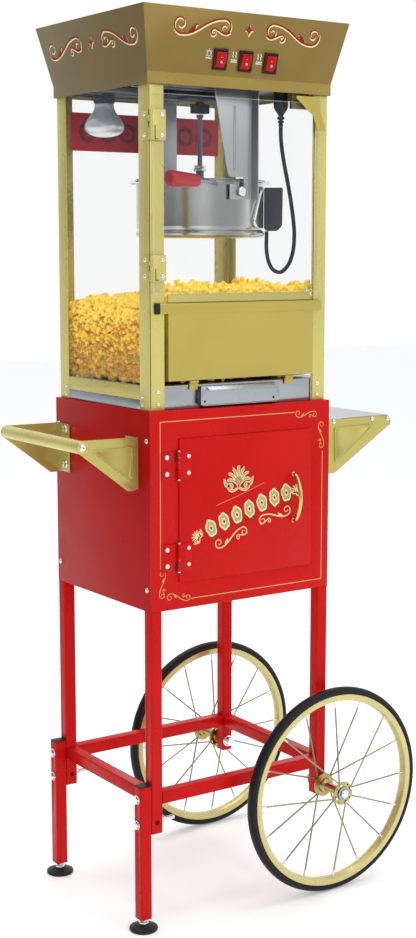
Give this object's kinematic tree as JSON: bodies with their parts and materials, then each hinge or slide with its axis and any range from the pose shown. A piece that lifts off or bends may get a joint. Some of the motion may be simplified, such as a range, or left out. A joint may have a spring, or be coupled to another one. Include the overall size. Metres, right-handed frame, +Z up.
{
  "type": "popcorn cart",
  "caption": "Popcorn cart: tilting kettle in a glazed cabinet with a flared gold canopy, over a red storage cart with spoked wheels.",
  "frame": {"origin": "middle of the overall box in X and Y, on the floor (push handle to wheels, wheel to wheel)", "axes": "+Z up, front of the cart faces -Y, push handle at -X, wheels and side shelf at +X"},
  "size_m": [0.6765, 0.4706, 1.5516],
  "materials": {
    "red_paint": "gloss",
    "gold_paint": "satin",
    "canopy_paint": "satin",
    "steel": "satin",
    "shelf_steel": "satin",
    "black_plastic": "satin",
    "cord_rubber": "matte",
    "tyre_rubber": "satin",
    "red_plastic": "gloss",
    "acrylic": "gloss",
    "lamp_glass": "satin",
    "popcorn": "matte"
  },
  "bodies": {
    "cart": {"left_leg_frame": "red_paint", "right_leg_frame": "red_paint", "front_rail": "red_paint", "back_rail": "red_paint", "leg_extension_front": "red_paint", "leg_extension_back": "red_paint", "cabinet_front_frame": "red_paint", "cabinet_left_panel": "red_paint", "cabinet_right_panel": "red_paint", "cabinet_back_panel": "red_paint", "cabinet_top": "red_paint", "cabinet_floor": "red_paint", "push_handle_tube": "gold_paint", "handle_bracket_front": "gold_paint", "handle_bracket_back": "gold_paint", "shelf_bracket_front": "gold_paint", "shelf_bracket_back": "gold_paint", "post_front_left": "gold_paint", "post_front_right": "gold_paint", "post_back_left": "gold_paint", "post_back_right": "gold_paint", "canopy": "canopy_paint", "popper_base": "steel", "ceiling_plate": "steel", "hanger_front": "steel", "hanger_back": "steel", "axle_front": "steel", "axle_back": "steel", "shelf_tray": "shelf_steel", "motor_housing": "black_plastic", "cord_outlet": "black_plastic", "switch_housing": "black_plastic", "kettle_cord": "cord_rubber", "left_glass": "acrylic", "right_glass": "acrylic", "back_glass": "acrylic", "lamp": "lamp_glass", "popcorn_heap": "popcorn"},
    "front_door": {"front_door": "acrylic", "door_handle": "gold_paint"},
    "flap": {"flap_door": "gold_paint"},
    "drawer": {"crumb_drawer": "steel"},
    "kettle": {"kettle_pot": "steel", "kettle_grip": "red_plastic", "kettle_connector": "black_plastic"},
    "lid_left": {"kettle_lid_left": "steel"},
    "lid_right": {"kettle_lid_right": "steel"},
    "stirrer": {"agitator": "steel"},
    "chuck": {"drive_chuck": "black_plastic"},
    "switch_1": {"rocker_1": "red_plastic"},
    "switch_2": {"rocker_2": "red_plastic"},
    "switch_3": {"rocker_3": "red_plastic"},
    "cabinet_door": {"cart_door": "red_paint", "bow_handle": "gold_paint"},
    "front_wheel": {"wheel_front": "gold_paint", "tyre_front": "tyre_rubber"},
    "back_wheel": {"wheel_back": "gold_paint", "tyre_back": "tyre_rubber"},
    "front_foot": {"foot_front": "black_plastic"},
    "back_foot": {"foot_back": "black_plastic"}
  },
  "joints": [
    {"name": "front_door_hinge", "type": "hinge", "parent": "cart", "child": "front_door", "pos_m": [-0.21185, -0.155, 1.255], "axis": [0, 0, 1], "range_deg": [-110, 0]},
    {"name": "flap_hinge", "type": "hinge", "parent": "cart", "child": "flap", "pos_m": [-0.03035, -0.1534, 0.946], "axis": [1, 0, 0], "range_deg": [0, 40]},
    {"name": "drawer_slide", "type": "slide", "parent": "cart", "child": "drawer", "axis": [0, -1, 0], "range_m": [0, 0.16]},
    {"name": "kettle_tilt", "type": "hinge", "parent": "cart", "child": "kettle", "pos_m": [-0.00735, 0, 1.265], "axis": [0, 1, 0], "range_deg": [-65, 0]},
    {"name": "lid_left_hinge", "type": "hinge", "parent": "kettle", "child": "lid_left", "pos_m": [-0.01735, 0, 1.2854], "axis": [0, 1, 0], "range_deg": [0, 60]},
    {"name": "lid_right_hinge", "type": "hinge", "parent": "kettle", "child": "lid_right", "pos_m": [-0.00535, 0, 1.2854], "axis": [0, 1, 0], "range_deg": [-60, 0]},
    {"name": "chuck_spin", "type": "hinge", "parent": "cart", "child": "chuck", "pos_m": [-0.01135, 0, 1.412], "axis": [0, 0, 1], "continuous": true},
    {"name": "stirrer_spin", "type": "hinge", "parent": "kettle", "child": "stirrer", "pos_m": [-0.01135, 0, 1.3], "axis": [0, 0, 1], "continuous": true},
    {"name": "rocker_1_press", "type": "hinge", "parent": "cart", "child": "switch_1", "pos_m": [-0.08085, -0.16099, 1.47623], "axis": [1, 0, 0], "range_deg": [-14, 0]},
    {"name": "rocker_2_press", "type": "hinge", "parent": "cart", "child": "switch_2", "pos_m": [-0.02985, -0.16099, 1.47623], "axis": [1, 0, 0], "range_deg": [-14, 0]},
    {"name": "rocker_3_press", "type": "hinge", "parent": "cart", "child": "switch_3", "pos_m": [0.02115, -0.16099, 1.47623], "axis": [1, 0, 0], "range_deg": [-14, 0]},
    {"name": "cabinet_door_hinge", "type": "hinge", "parent": "cart", "child": "cabinet_door", "pos_m": [-0.16515, -0.1665, 0.73], "axis": [0, 0, 1], "range_deg": [-100, 0]},
    {"name": "front_wheel_spin", "type": "hinge", "parent": "cart", "child": "front_wheel", "pos_m": [0.14775, -0.198, 0.1905], "axis": [0, 1, 0], "continuous": true},
    {"name": "back_wheel_spin", "type": "hinge", "parent": "cart", "child": "back_wheel", "pos_m": [0.14775, 0.198, 0.1905], "axis": [0, 1, 0], "continuous": true},
    {"name": "front_foot_turn", "type": "hinge", "parent": "cart", "child": "front_foot", "pos_m": [-0.23095, -0.1494, 0.01], "axis": [0, 0, 1], "continuous": true},
    {"name": "back_foot_turn", "type": "hinge", "parent": "cart", "child": "back_foot", "pos_m": [-0.23095, 0.1494, 0.01], "axis": [0, 0, 1], "continuous": true}
  ],
  "couplings": [
    {"joint": "stirrer_spin", "follows": "chuck_spin", "ratio": 1}
  ]
}
